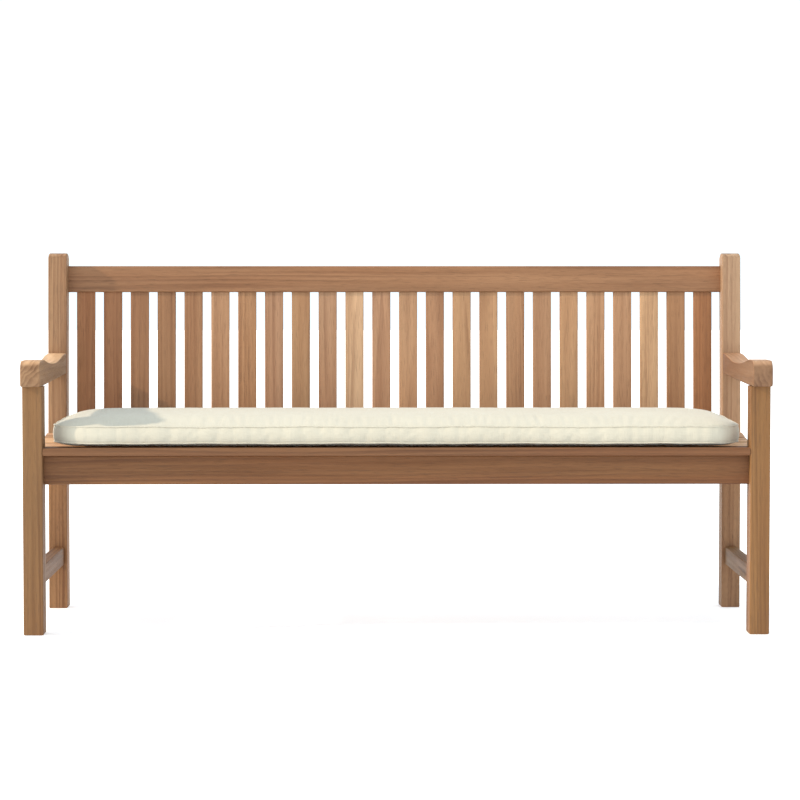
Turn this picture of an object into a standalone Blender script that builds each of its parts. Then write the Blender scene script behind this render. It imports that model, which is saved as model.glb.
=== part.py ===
"""Teak garden bench for three or four people, with a loose box cushion.

Frame: +X to the right as seen from the front, +Y to the back, +Z up, in metres. The bench stands on
Z = 0 with its origin under the middle of the whole bench. While it is built, Y = 0 is the front face
of the front legs; the empty "bench" then moves everything to the middle. "left" and "right" are as
seen from the front. The back leans, so its rails and slats live in the frame of the empty
"leaning_back": X as before, Y square to the back and Z up along it, from the bend in the posts.
"""

import math
from collections import namedtuple

import bmesh
import bpy
from mathutils import Vector

# Overall sizes
WIDTH = 1.800  # over the armrests
HEIGHT = 0.921  # floor to the top of the back posts
SEAT_HEIGHT = 0.4515  # floor to the top of the front seat board
ARM_HEIGHT = 0.662  # floor to the top of the armrest's nose
SEAT_DEPTH = 0.517  # front face of the front legs to front face of the posts

# Legs and posts
LEG_WIDTH = 0.048
FRONT_LEG_DEPTH = 0.060
POST_DEPTH = 0.060
BEND_HEIGHT = 0.435  # where the posts start to lean back
LEAN = math.radians(3.2)
POST_ARCH = 0.012  # rise of the rounded top of a post

# Armrests
ARM_WIDTH = 0.048
ARM_PROUD = 0.0015  # armrest beyond the outer face of the leg
ARM_OVERHANG = 0.025  # nose in front of the leg
ARM_NOSE_HEIGHT = 0.0625
ARM_NOSE_RADIUS = 0.024
ARM_REAR_HEIGHT = 0.053
ARM_FLAT_LENGTH = 0.095  # level part of the top, from the tip of the nose
ARM_LIP_RADIUS = 0.006
ARM_SCOOP_DEPTH = 0.0158
# Middle handles of the scooped top's two halves: share of the half's length, and share of the depth
ARM_SCOOP_FALL = ((0.20, 0.45), (0.55, 1.0))
ARM_SCOOP_RISE = ((0.45, 1.0), (0.62, 0.0))

# Rails under the seat
RAIL_BOTTOM = 0.362
APRON_SETBACK = 0.025
RAIL_THICKNESS = 0.027
SIDE_RAIL_THICKNESS = 0.030
REAR_RAIL_DROP = 0.008  # top of the rear rail below the bend
BEARER_THICKNESS = 0.030
BEARER_SPACING = 0.566
STRETCHER_TOP = 0.1587
STRETCHER_HEIGHT = 0.046
STRETCHER_THICKNESS = 0.030

# Seat
SEAT_BOARD_THICKNESS = 0.0195
FRONT_BOARD_DEPTH = 0.070
SEAT_SLAT_COUNT = 6
SEAT_SLAT_GAP = 0.0102
SEAT_REAR_GAP = 0.0168  # last slat to the posts
SEAT_DIP = 0.0215
SEAT_REAR_RISE = 0.0081
SEAT_DIP_SKEW = 0.7  # below 1 the lowest place is nearer to the front

# Back
BACK_RAIL_SETBACK = 0.033  # behind the front face of the posts
BACK_RAIL_THICKNESS = 0.026
TOP_RAIL_DROP = 0.033  # below the top of the posts
TOP_RAIL_HEIGHT = 0.0675
LOW_RAIL_LIFT = 0.006  # above the bend
LOW_RAIL_HEIGHT = 0.044
BACK_SLAT_COUNT = 24
BACK_SLAT_WIDTH = 0.0477
BACK_SLAT_THICKNESS = 0.013

# Joinery
FIT = 0.0003  # gap between any two touching faces
TENON_THICKNESS = 0.012
TENON_LENGTH = 0.020
SIDE_TENON_LENGTH = 0.013  # short, because side rails and cross rails meet inside the leg
SIDE_TENON_HEIGHT = 0.040
TENON_SHOULDER = 0.008  # at each edge of a rail
SLAT_TENON_LENGTH = 0.016
SLAT_TENON_THICKNESS = 0.008
SLAT_TENON_SHOULDER = 0.006
ARM_TENON_HEIGHT = 0.028
LEG_TENON_DEPTH = 0.036
LEG_TENON_HEIGHT = 0.022
PEG_RADIUS = 0.004
PEG_LENGTH = 0.040
PEG_SETBACK = 0.009  # centre of a peg from the shoulder of its tenon
PEG_SIDES = 12
OVERSHOOT = 0.004  # a tenon reaches this far into its own piece, and a cutter out of it

# Rounded edges
EDGE_RADIUS = 0.003
SLAT_EDGE_RADIUS = 0.0022
BOARD_NOSE_RADIUS = 0.006
EDGE_SEGMENTS = 2
CURVE_STEPS = 12
ARC_STEPS = 6

# Cushion
CUSHION_LENGTH = 1.670
CUSHION_DEPTH = 0.462
CUSHION_SETBACK = 0.014  # behind the front face of the front legs
CUSHION_CORNER_RADIUS = 0.085
CUSHION_WALL = 0.040  # between the top and bottom seams
CUSHION_TOP_CROWN = 0.019
CUSHION_BOTTOM_CROWN = 0.009
CUSHION_REAR_REST = 0.0012  # rear edge above the seat curve
COVER_THICKNESS = 0.0015
FOAM_GAP = 0.0012  # between the foam and its cover
ZIP_LENGTH = 1.200
ZIP_HEIGHT = 0.005
CUSHION_LONG_CELLS = 12
CUSHION_SHORT_CELLS = 4
# Distance in from the cushion's edge, and the share of the crown reached there
CROWN_STEPS = ((0.004, 0.0), (0.020, 0.45), (0.045, 0.78), (0.085, 1.0))

TEAK_LIGHT = (0.60, 0.39, 0.22)
TEAK_MIDDLE = (0.47, 0.28, 0.15)
TEAK_DARK = (0.34, 0.19, 0.10)
TEAK_ROUGHNESS = 0.62
CREAM_FABRIC = (0.84, 0.80, 0.68)
FOAM_WHITE = (0.86, 0.84, 0.76)
ZIP_CREAM = (0.78, 0.75, 0.66)
FABRIC_ROUGHNESS = 0.92

# Sizes that follow from the ones above
LEG_OUTSIDE = WIDTH / 2 - ARM_PROUD
LEG_INSIDE = LEG_OUTSIDE - LEG_WIDTH
LEG_CENTRE = LEG_OUTSIDE - LEG_WIDTH / 2
RAIL_TOP = SEAT_HEIGHT - SEAT_BOARD_THICKNESS
ARM_UNDERSIDE = ARM_HEIGHT - ARM_NOSE_HEIGHT
REAR_RAIL_FRONT = SEAT_DEPTH + (POST_DEPTH - RAIL_THICKNESS) / 2
REAR_RAIL_TOP = BEND_HEIGHT - REAR_RAIL_DROP
POST_LENGTH = (HEIGHT - BEND_HEIGHT + POST_DEPTH / 2 * math.sin(LEAN)) / math.cos(LEAN)
BACK_RAIL_REAR = BACK_RAIL_SETBACK + BACK_RAIL_THICKNESS
BACK_MIDDLE = BACK_RAIL_SETBACK + BACK_RAIL_THICKNESS / 2
TOP_RAIL_TOP = POST_LENGTH - TOP_RAIL_DROP
TOP_RAIL_BOTTOM = TOP_RAIL_TOP - TOP_RAIL_HEIGHT
LOW_RAIL_TOP = LOW_RAIL_LIFT + LOW_RAIL_HEIGHT
SLATS_FRONT = FRONT_BOARD_DEPTH + SEAT_SLAT_GAP
SLATS_DEPTH = SEAT_DEPTH - SEAT_REAR_GAP - SLATS_FRONT
SEAT_SLAT_WIDTH = (SLATS_DEPTH + SEAT_SLAT_GAP) / SEAT_SLAT_COUNT - SEAT_SLAT_GAP

# A tenon is a box whose root is the shoulder it grows from: axis 0, 1 or 2, and sign +1 or -1
Tenon = namedtuple("Tenon", "low high axis sign")
Slat = namedtuple("Slat", "y z slope")


# ---------------------------------------------------------------- objects and materials


def clear_scene():
    for obj in list(bpy.data.objects):
        bpy.data.objects.remove(obj)


def empty(name, parent=None, location=(0, 0, 0), rotation=(0, 0, 0)):
    frame = bpy.data.objects.new(name, None)
    frame.parent = parent
    frame.location = location
    frame.rotation_euler = rotation
    bpy.context.scene.collection.objects.link(frame)
    return frame


def finish_of(name, colour, roughness):
    material = bpy.data.materials.new(name)
    material.use_nodes = True
    shader = material.node_tree.nodes["Principled BSDF"]
    shader.inputs["Base Color"].default_value = (*colour, 1)
    shader.inputs["Roughness"].default_value = roughness
    shader.inputs["Metallic"].default_value = 0
    return material


def new_object(name, mesh, parent):
    bmesh.ops.recalc_face_normals(mesh, faces=mesh.faces)
    data = bpy.data.meshes.new(name)
    mesh.to_mesh(data)
    mesh.free()
    data.shade_smooth()
    data.set_sharp_from_angle(angle=math.radians(35))
    obj = bpy.data.objects.new(name, data)
    obj.parent = parent
    bpy.context.scene.collection.objects.link(obj)
    return obj


def piece_of(name, mesh, parent, colour, roughness=TEAK_ROUGHNESS):
    piece = new_object(name, mesh, parent)
    piece.data.materials.append(finish_of(name, colour, roughness))
    return piece


def combine(piece, operation, mesh, frame):
    """Joins the closed solids in mesh to a piece (UNION), or cuts them out of it (DIFFERENCE)."""
    tool = new_object(f"{piece.name}_{operation.lower()}_{len(piece.modifiers)}", mesh, frame)
    tool.hide_render = True
    tool.display_type = "WIRE"
    modifier = piece.modifiers.new(tool.name, "BOOLEAN")
    modifier.operation = operation
    modifier.solver = "EXACT"
    modifier.object = tool


# ---------------------------------------------------------------- meshes


def box_mesh(boxes):
    """A mesh of separate boxes, each given by its lowest and highest corners."""
    mesh = bmesh.new()
    for low, high in boxes:
        corners = bmesh.ops.create_cube(mesh, size=1)["verts"]
        low, high = Vector(low), Vector(high)
        for corner in corners:
            share = corner.co + Vector((0.5, 0.5, 0.5))
            corner.co = [low[i] + share[i] * (high[i] - low[i]) for i in range(3)]
    return mesh


def round_edges(mesh, edges, radius):
    bmesh.ops.bevel(
        mesh, geom=edges, offset=radius, offset_type="OFFSET", segments=EDGE_SEGMENTS,
        profile=0.5, affect="EDGES", clamp_overlap=True,
    )


def board_mesh(low, high, along, radius=EDGE_RADIUS, foot=False):
    """A plank with its four long edges rounded, and the edges of its lower end too if it is a foot."""
    mesh = box_mesh([(low, high)])
    rounded = []
    for edge in mesh.edges:
        start, end = (v.co for v in edge.verts)
        is_long = abs((end - start).normalized()[along]) > 0.99
        is_foot = foot and max(start.z, end.z) < low[2] + FIT
        if is_long or is_foot:
            rounded.append(edge)
    round_edges(mesh, rounded, radius)
    return mesh


def profile_mesh(outline, x_low, x_high, radius=EDGE_RADIUS, keep_square=()):
    """A side outline of (y, z) points drawn out along X, with its side edges rounded.

    keep_square lists the outline's sides, by the number of their first point, that stay square.
    """
    mesh = bmesh.new()
    rings = [[mesh.verts.new((x, y, z)) for y, z in outline] for x in (x_low, x_high)]
    count = len(outline)
    for ring in rings:
        mesh.faces.new(ring)
    for i in range(count):
        j = (i + 1) % count
        mesh.faces.new((rings[0][i], rings[0][j], rings[1][j], rings[1][i]))
    sides = [i for i in range(count) if i not in keep_square]
    edges = [mesh.edges.get((ring[i], ring[(i + 1) % count])) for ring in rings for i in sides]
    bmesh.ops.recalc_face_normals(mesh, faces=mesh.faces)
    round_edges(mesh, edges, radius)
    return mesh


def peg_mesh(start, direction, length, radius):
    """A round peg from its flush end at start, running into the wood along direction."""
    mesh = bmesh.new()
    turn = Vector((0, 0, 1)).rotation_difference(Vector(direction)).to_matrix().to_4x4()
    bmesh.ops.create_cone(
        mesh, cap_ends=True, segments=PEG_SIDES, radius1=radius, radius2=radius, depth=length, matrix=turn
    )
    middle = Vector(start) + Vector(direction) * (length / 2)
    bmesh.ops.translate(mesh, vec=middle, verts=mesh.verts)
    return mesh


# ---------------------------------------------------------------- mortises, tenons and pegs


def rail_tenon(sign, x, y_middle, z_low, z_high):
    """A tenon at the end of a rail that runs along X, growing out of the shoulder at x."""
    half = TENON_THICKNESS / 2
    reach = x + sign * TENON_LENGTH
    low = (min(x, reach), y_middle - half, z_low + TENON_SHOULDER)
    high = (max(x, reach), y_middle + half, z_high - TENON_SHOULDER)
    return Tenon(low, high, 0, sign)


def side_tenon(sign, x_middle, y, z_low, z_high, length=TENON_LENGTH):
    """A tenon at the end of a piece that runs along Y, growing out of the shoulder at y."""
    half = TENON_THICKNESS / 2
    reach = y + sign * length
    return Tenon((x_middle - half, min(y, reach), z_low), (x_middle + half, max(y, reach), z_high), 1, sign)


def upright_tenon(sign, x_middle, x_size, y_middle, y_size, z, length):
    """A tenon at the end of a piece that runs along Z, growing out of the shoulder at z."""
    reach = z + sign * length
    low = (x_middle - x_size / 2, y_middle - y_size / 2, min(z, reach))
    high = (x_middle + x_size / 2, y_middle + y_size / 2, max(z, reach))
    return Tenon(low, high, 2, sign)


def tongue(tenon):
    """The tenon's box, rooted inside its own piece."""
    low, high = list(tenon.low), list(tenon.high)
    if tenon.sign > 0:
        low[tenon.axis] -= OVERSHOOT
    else:
        high[tenon.axis] += OVERSHOOT
    return low, high


def pocket(tenon):
    """The box that a mortise removes: the tenon with a gap all round, and open at its mouth."""
    low, high = tongue(tenon)
    grow = [FIT, FIT, FIT]
    return [a - g for a, g in zip(low, grow)], [b + g for b, g in zip(high, grow)]


def add_tenons(piece, tenons, frame):
    combine(piece, "UNION", box_mesh([tongue(t) for t in tenons]), frame)


def cut_mortises(piece, tenons, frame):
    combine(piece, "DIFFERENCE", box_mesh([pocket(t) for t in tenons]), frame)


def drill(pieces, start, direction, frame):
    """Drills the hole for one peg through the given pieces."""
    direction = Vector(direction)
    mouth = Vector(start) - direction * OVERSHOOT
    for piece in pieces:
        hole = peg_mesh(mouth, direction, PEG_LENGTH + OVERSHOOT + FIT, PEG_RADIUS + FIT)
        combine(piece, "DIFFERENCE", hole, frame)


def add_peg(name, pieces, start, direction, frame):
    drill(pieces, start, direction, frame)
    piece_of(name, peg_mesh(start, Vector(direction), PEG_LENGTH, PEG_RADIUS), frame, TEAK_DARK)


# ---------------------------------------------------------------- curves that several pieces share


def back_point(y, z):
    """A point of the leaning back's frame, as (y, z) in the bench's frame."""
    return (
        SEAT_DEPTH + y * math.cos(LEAN) + z * math.sin(LEAN),
        BEND_HEIGHT - y * math.sin(LEAN) + z * math.cos(LEAN),
    )


def post_face(z):
    """Y of the front face of the leaning posts at height z."""
    return SEAT_DEPTH + (z - BEND_HEIGHT) * math.tan(LEAN)


def seat_curve(y):
    """Height of the hollowed seat at y."""
    share = min(max((y - FRONT_LEG_DEPTH) / (SEAT_DEPTH - FRONT_LEG_DEPTH), 0), 1)
    dip = SEAT_DIP * math.sin(math.pi * share**SEAT_DIP_SKEW)
    return SEAT_HEIGHT + SEAT_REAR_RISE * share - dip


def seat_slats():
    """The place and slope of each slat behind the front seat board."""
    slats = []
    for i in range(SEAT_SLAT_COUNT):
        front = SLATS_FRONT + i * (SEAT_SLAT_WIDTH + SEAT_SLAT_GAP)
        rear = front + SEAT_SLAT_WIDTH
        slope = math.atan2(seat_curve(rear) - seat_curve(front), SEAT_SLAT_WIDTH)
        slats.append(Slat((front + rear) / 2, (seat_curve(front) + seat_curve(rear)) / 2, slope))
    return slats


def bed_of_slats(slats):
    """The (y, z) points, front to back, of the edge on which the seat slats lie."""
    points = []
    depth = SEAT_BOARD_THICKNESS + FIT
    for slat in slats:
        for side in (-1, 1):
            along = side * SEAT_SLAT_WIDTH / 2
            y = slat.y + along * math.cos(slat.slope) + depth * math.sin(slat.slope)
            z = slat.z + along * math.sin(slat.slope) - depth * math.cos(slat.slope)
            points.append((y, z))
    return points


def arc(centre, radius, start, end, steps=ARC_STEPS):
    """Points of a round stretch, from the angle start to end, in degrees."""
    points = []
    for i in range(steps + 1):
        angle = math.radians(start + (end - start) * i / steps)
        points.append((centre[0] + radius * math.cos(angle), centre[1] + radius * math.sin(angle)))
    return points


def bezier(handles, steps=CURVE_STEPS):
    """Points of a cubic curve with four handles, both ends included."""
    points = []
    for i in range(steps + 1):
        t = i / steps
        weights = ((1 - t) ** 3, 3 * t * (1 - t) ** 2, 3 * t * t * (1 - t), t**3)
        points.append(tuple(sum(w * h[k] for w, h in zip(weights, handles)) for k in (0, 1)))
    return points


# ---------------------------------------------------------------- outlines seen from the side


def post_outline():
    """Straight foot, bend at seat height, leaning upper part and a shallow rounded top."""
    radius = (POST_DEPTH**2 / 4 + POST_ARCH**2) / (2 * POST_ARCH)
    half_angle = math.degrees(math.asin(POST_DEPTH / 2 / radius))
    top = arc((POST_DEPTH / 2, POST_LENGTH - radius), radius, 90 + half_angle, 90 - half_angle)
    rear = SEAT_DEPTH + POST_DEPTH
    bend_rear = (rear, BEND_HEIGHT - POST_DEPTH * math.tan(LEAN / 2))
    upper = [back_point(y, z) for y, z in top]
    return [(SEAT_DEPTH, 0), (SEAT_DEPTH, BEND_HEIGHT)] + upper + [bend_rear, (rear, 0)]


def scoop_curve(start, length, first, handles, last):
    """Half of the armrest's scooped top, from one share of the scoop's depth to another."""
    shares = [(0, first), *handles, (1, last)]
    return bezier([(start + length * along, ARM_HEIGHT - ARM_SCOOP_DEPTH * down) for along, down in shares])


def arm_outline():
    """Rounded nose, level front, scooped top that rises to the post, and a straight underside."""
    front = -ARM_OVERHANG
    rear_under = ARM_HEIGHT - ARM_REAR_HEIGHT
    rear_top_y = post_face(ARM_HEIGHT) - FIT
    flat_end = front + ARM_FLAT_LENGTH
    half = (rear_top_y - flat_end) / 2
    fall = scoop_curve(flat_end, half, 0, ARM_SCOOP_FALL, 1)
    rise = scoop_curve(flat_end + half, half, 1, ARM_SCOOP_RISE, 0)
    scoop = fall + rise[1:]
    nose_centre = (front + ARM_NOSE_RADIUS, ARM_HEIGHT - ARM_NOSE_RADIUS)
    nose = arc(nose_centre, ARM_NOSE_RADIUS, 180, 90)
    lip_centre = (front + ARM_LIP_RADIUS, ARM_UNDERSIDE + ARM_LIP_RADIUS)
    lip = arc(lip_centre, ARM_LIP_RADIUS, 270, 180, EDGE_SEGMENTS)
    under = [(post_face(rear_under) - FIT, rear_under), (FRONT_LEG_DEPTH, ARM_UNDERSIDE)]
    return under + lip + nose + scoop


# ---------------------------------------------------------------- sub-parts


def make_front_leg(name, side, bench):
    low = (side * LEG_CENTRE - LEG_WIDTH / 2, 0, 0)
    high = (side * LEG_CENTRE + LEG_WIDTH / 2, FRONT_LEG_DEPTH, ARM_UNDERSIDE - FIT)
    mesh = board_mesh(low, high, along=2, foot=True)
    return piece_of(name, mesh, bench, TEAK_MIDDLE)


def make_post(name, side, bench):
    low, high = side * LEG_CENTRE - LEG_WIDTH / 2, side * LEG_CENTRE + LEG_WIDTH / 2
    return piece_of(name, profile_mesh(post_outline(), low, high), bench, TEAK_MIDDLE)


def make_armrest(name, side, bench):
    outside = side * WIDTH / 2
    inside = outside - side * ARM_WIDTH
    outline = arm_outline()
    rear_side = len(outline) - 1  # the short side that butts against the post
    mesh = profile_mesh(outline, min(inside, outside), max(inside, outside), keep_square=(rear_side,))
    return piece_of(name, mesh, bench, TEAK_LIGHT)


def make_cross_rail(name, low_yz, high_yz, frame, colour):
    """A rail between the legs or the posts, running along X."""
    half = LEG_INSIDE - FIT
    mesh = board_mesh((-half, *low_yz), (half, *high_yz), along=0)
    return piece_of(name, mesh, frame, colour)


def make_side_rail(name, side, slats, bench):
    """A rail from the front leg to the post, hollowed on top for the seat slats."""
    front, rear = FRONT_LEG_DEPTH + FIT, SEAT_DEPTH - FIT
    bed = bed_of_slats(slats)
    top = [(front, bed[0][1])] + bed + [(rear, bed[-1][1])]
    outline = [(rear, RAIL_BOTTOM), (front, RAIL_BOTTOM)] + top
    low = side * LEG_CENTRE - SIDE_RAIL_THICKNESS / 2
    mesh = profile_mesh(outline, low, low + SIDE_RAIL_THICKNESS, keep_square=(1, len(outline) - 1))
    return piece_of(name, mesh, bench, TEAK_DARK)


def make_bearer(name, side, slats, bench):
    """A cross-bearer from the front rail to the rear rail, under the slats."""
    front = APRON_SETBACK + RAIL_THICKNESS + FIT
    rear = REAR_RAIL_FRONT - FIT
    bed = bed_of_slats(slats)
    top = [(front, RAIL_TOP - FIT), (FRONT_BOARD_DEPTH, RAIL_TOP - FIT)] + bed + [(rear, REAR_RAIL_TOP)]
    outline = [(rear, RAIL_BOTTOM), (front, RAIL_BOTTOM)] + top
    low = side * BEARER_SPACING / 2 - BEARER_THICKNESS / 2
    mesh = profile_mesh(outline, low, low + BEARER_THICKNESS, keep_square=(1, len(outline) - 1))
    return piece_of(name, mesh, bench, TEAK_DARK)


def make_stretcher(name, side, bench):
    half = STRETCHER_THICKNESS / 2
    low = (side * LEG_CENTRE - half, FRONT_LEG_DEPTH + FIT, STRETCHER_TOP - STRETCHER_HEIGHT)
    high = (side * LEG_CENTRE + half, SEAT_DEPTH - FIT, STRETCHER_TOP)
    return piece_of(name, board_mesh(low, high, along=1), bench, TEAK_MIDDLE)


def make_front_board(bench):
    half = LEG_INSIDE - FIT
    low, high = (-half, 0, RAIL_TOP), (half, FRONT_BOARD_DEPTH, SEAT_HEIGHT)
    mesh = board_mesh(low, high, along=0, radius=BOARD_NOSE_RADIUS)
    return piece_of("seat_front_board", mesh, bench, TEAK_MIDDLE)


def make_seat_slat(number, slat, bench):
    half_width = SEAT_SLAT_WIDTH / 2
    low = (-LEG_OUTSIDE, -half_width, -SEAT_BOARD_THICKNESS)
    mesh = board_mesh(low, (LEG_OUTSIDE, half_width, 0), along=0)
    piece = piece_of(f"seat_slat_{number}", mesh, bench, TEAK_LIGHT)
    piece.location = (0, slat.y, slat.z)
    piece.rotation_euler = (slat.slope, 0, 0)


def slat_centres():
    """X of each back slat, with equal gaps between them and to the posts."""
    span = 2 * LEG_INSIDE
    gap = (span - BACK_SLAT_COUNT * BACK_SLAT_WIDTH) / (BACK_SLAT_COUNT + 1)
    first = -LEG_INSIDE + gap + BACK_SLAT_WIDTH / 2
    return [first + i * (BACK_SLAT_WIDTH + gap) for i in range(BACK_SLAT_COUNT)]


def slat_tenons(x):
    """The lower and the upper tenon of the back slat at x."""
    width = BACK_SLAT_WIDTH - 2 * SLAT_TENON_SHOULDER
    ends = ((-1, LOW_RAIL_TOP + FIT), (1, TOP_RAIL_BOTTOM - FIT))
    return [
        upright_tenon(sign, x, width, BACK_MIDDLE, SLAT_TENON_THICKNESS, z, SLAT_TENON_LENGTH)
        for sign, z in ends
    ]


def make_back_slat(number, x, back):
    half_width, half_thickness = BACK_SLAT_WIDTH / 2, BACK_SLAT_THICKNESS / 2
    low = (x - half_width, BACK_MIDDLE - half_thickness, LOW_RAIL_TOP + FIT)
    high = (x + half_width, BACK_MIDDLE + half_thickness, TOP_RAIL_BOTTOM - FIT)
    mesh = board_mesh(low, high, along=2, radius=SLAT_EDGE_RADIUS)
    colour = (TEAK_MIDDLE, TEAK_DARK, TEAK_LIGHT, TEAK_DARK, TEAK_MIDDLE)[number % 5]
    slat = piece_of(f"back_slat_{number:02d}", mesh, back, colour)
    add_tenons(slat, slat_tenons(x), back)


# ---------------------------------------------------------------- cushion


def grid_lines(half, cells):
    """Offsets from the middle, edge to edge: close together at the rounded edges, even between."""
    steps = [0.0] + [distance for distance, _ in CROWN_STEPS]
    inner = half - steps[-1]
    left = [-half + step for step in steps]
    middle = [-inner + 2 * inner * i / cells for i in range(1, cells)]
    return left + middle + [-value for value in reversed(left)]


def crown_share(distance):
    """Share of the crown reached at a distance in from the edge of the cushion."""
    points = ((0.0, 0.0),) + CROWN_STEPS
    for (d0, c0), (d1, c1) in zip(points, points[1:]):
        if distance <= d1:
            return c0 + (c1 - c0) * (distance - d0) / (d1 - d0)
    return 1.0


def round_corner(x, y, half_x, half_y, radius):
    """Moves a point of a rectangle into the rectangle with rounded corners."""
    dx = (abs(x) - (half_x - radius)) / radius
    dy = (abs(y) - (half_y - radius)) / radius
    if dx <= 0 or dy <= 0:
        return x, y
    round_x = half_x - radius + radius * dx * math.sqrt(1 - dy * dy / 2)
    round_y = half_y - radius + radius * dy * math.sqrt(1 - dx * dx / 2)
    return math.copysign(round_x, x), math.copysign(round_y, y)


def cushion_rest(y):
    """Height of the plane that the cushion's underside rests on, at y."""
    front = CUSHION_SETBACK
    rear = CUSHION_SETBACK + CUSHION_DEPTH
    front_z = SEAT_HEIGHT + FIT
    rear_z = seat_curve(rear) + CUSHION_REAR_REST
    return front_z + (rear_z - front_z) * (y - front) / (rear - front)


def cushion_mesh(inset):
    """The crowned box cushion as a closed form, with every face moved inwards by inset."""
    half_x, half_y = CUSHION_LENGTH / 2 - inset, CUSHION_DEPTH / 2 - inset
    middle_y = CUSHION_SETBACK + CUSHION_DEPTH / 2
    lines_x = grid_lines(half_x, CUSHION_LONG_CELLS)
    lines_y = grid_lines(half_y, CUSHION_SHORT_CELLS)
    rim = {}
    mesh = bmesh.new()
    for is_top in (True, False):
        verts = {}
        for i, x in enumerate(lines_x):
            for j, y in enumerate(lines_y):
                on_rim = i in (0, len(lines_x) - 1) or j in (0, len(lines_y) - 1)
                if on_rim and not is_top:
                    verts[i, j] = rim[i, j]
                    continue
                share = crown_share(half_x - abs(x)) * crown_share(half_y - abs(y))
                px, py = round_corner(x, y, half_x, half_y, CUSHION_CORNER_RADIUS - inset)
                base = cushion_rest(middle_y + py) + CUSHION_BOTTOM_CROWN
                if on_rim:
                    z = base + CUSHION_WALL / 2
                elif is_top:
                    z = base + CUSHION_WALL + CUSHION_TOP_CROWN * share - inset
                else:
                    z = base - CUSHION_BOTTOM_CROWN * share + inset
                verts[i, j] = mesh.verts.new((px, middle_y + py, z))
                if on_rim:
                    rim[i, j] = verts[i, j]
        for i in range(len(lines_x) - 1):
            for j in range(len(lines_y) - 1):
                mesh.faces.new((verts[i, j], verts[i + 1, j], verts[i + 1, j + 1], verts[i, j + 1]))
    return mesh


def zip_box(gap):
    """The strip of the rear wall that the zip fills, made smaller all round by gap."""
    rear = CUSHION_SETBACK + CUSHION_DEPTH
    z = cushion_rest(rear) + CUSHION_BOTTOM_CROWN + CUSHION_WALL / 2
    half_x, half_z = ZIP_LENGTH / 2 - gap, ZIP_HEIGHT / 2 - gap
    return (-half_x, rear - COVER_THICKNESS, z - half_z), (half_x, rear, z + half_z)


def make_cushion(bench):
    cover = piece_of("cushion_cover", cushion_mesh(0), bench, CREAM_FABRIC, FABRIC_ROUGHNESS)
    combine(cover, "DIFFERENCE", cushion_mesh(COVER_THICKNESS), bench)
    low, high = zip_box(0)
    slot = (low[0], low[1] - OVERSHOOT, low[2]), (high[0], high[1] + OVERSHOOT, high[2])
    combine(cover, "DIFFERENCE", box_mesh([slot]), bench)
    piece_of("cushion_foam", cushion_mesh(COVER_THICKNESS + FOAM_GAP), bench, FOAM_WHITE, FABRIC_ROUGHNESS)
    piece_of("cushion_zip", box_mesh([zip_box(FIT)]), bench, ZIP_CREAM, FABRIC_ROUGHNESS)


# ---------------------------------------------------------------- the whole bench


def join_cross_rail(rail, y_middle, z_low, z_high, receivers, frame):
    """Tenons at both ends of a cross rail, with their mortises in the left and right receivers."""
    for side, receiver in receivers.items():
        tenon = rail_tenon(side, side * (LEG_INSIDE - FIT), y_middle, z_low, z_high)
        add_tenons(rail, [tenon], frame)
        cut_mortises(receiver, [tenon], frame)


def join_along_y(piece, x, ends, z_low, z_high, length, bench):
    """Tenons at the front and rear end of a piece that runs along Y, with their mortises.

    ends holds the sign, the shoulder's y and the receiving piece of each end.
    """
    for sign, y, receiver in ends:
        tenon = side_tenon(sign, x, y, z_low, z_high, length)
        add_tenons(piece, [tenon], bench)
        cut_mortises(receiver, [tenon], bench)


def join_armrest(arm, leg, post, side, bench):
    """The leg's tenon goes up into the armrest, and the armrest's tenon goes back into the post."""
    x = side * LEG_CENTRE
    up = upright_tenon(
        1, x, TENON_THICKNESS, FRONT_LEG_DEPTH / 2, LEG_TENON_DEPTH, ARM_UNDERSIDE - FIT, LEG_TENON_HEIGHT
    )
    add_tenons(leg, [up], bench)
    cut_mortises(arm, [up], bench)
    middle = ARM_HEIGHT - ARM_REAR_HEIGHT / 2
    half = ARM_TENON_HEIGHT / 2
    join_along_y(arm, x, [(1, post_face(middle), post)], middle - half, middle + half, TENON_LENGTH, bench)


def make_side(side, hand, leg, post, slats, bench):
    """The armrest, the side rail and the side stretcher of one end of the bench."""
    x = side * LEG_CENTRE
    ends = [(-1, FRONT_LEG_DEPTH + FIT, leg), (1, SEAT_DEPTH - FIT, post)]
    rail_low = RAIL_BOTTOM + TENON_SHOULDER
    rail = make_side_rail(f"side_rail_{hand}", side, slats, bench)
    join_along_y(rail, x, ends, rail_low, rail_low + SIDE_TENON_HEIGHT, SIDE_TENON_LENGTH, bench)
    stretcher = make_stretcher(f"side_stretcher_{hand}", side, bench)
    low = STRETCHER_TOP - STRETCHER_HEIGHT + TENON_SHOULDER
    join_along_y(stretcher, x, ends, low, STRETCHER_TOP - TENON_SHOULDER, TENON_LENGTH, bench)
    arm = make_armrest(f"armrest_{hand}", side, bench)
    join_armrest(arm, leg, post, side, bench)
    return arm


def make_seat(front_rail, rear_rail, hands, slats, bench):
    """The cross-bearers, the front board and the slats."""
    low = RAIL_BOTTOM + TENON_SHOULDER
    for side, hand in hands.items():
        bearer = make_bearer(f"seat_bearer_{hand}", side, slats, bench)
        ends = [
            (-1, APRON_SETBACK + RAIL_THICKNESS + FIT, front_rail),
            (1, REAR_RAIL_FRONT - FIT, rear_rail),
        ]
        x = side * BEARER_SPACING / 2
        join_along_y(bearer, x, ends, low, low + SIDE_TENON_HEIGHT, SIDE_TENON_LENGTH, bench)
    make_front_board(bench)
    for number, slat in enumerate(slats, start=1):
        make_seat_slat(number, slat, bench)


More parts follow.
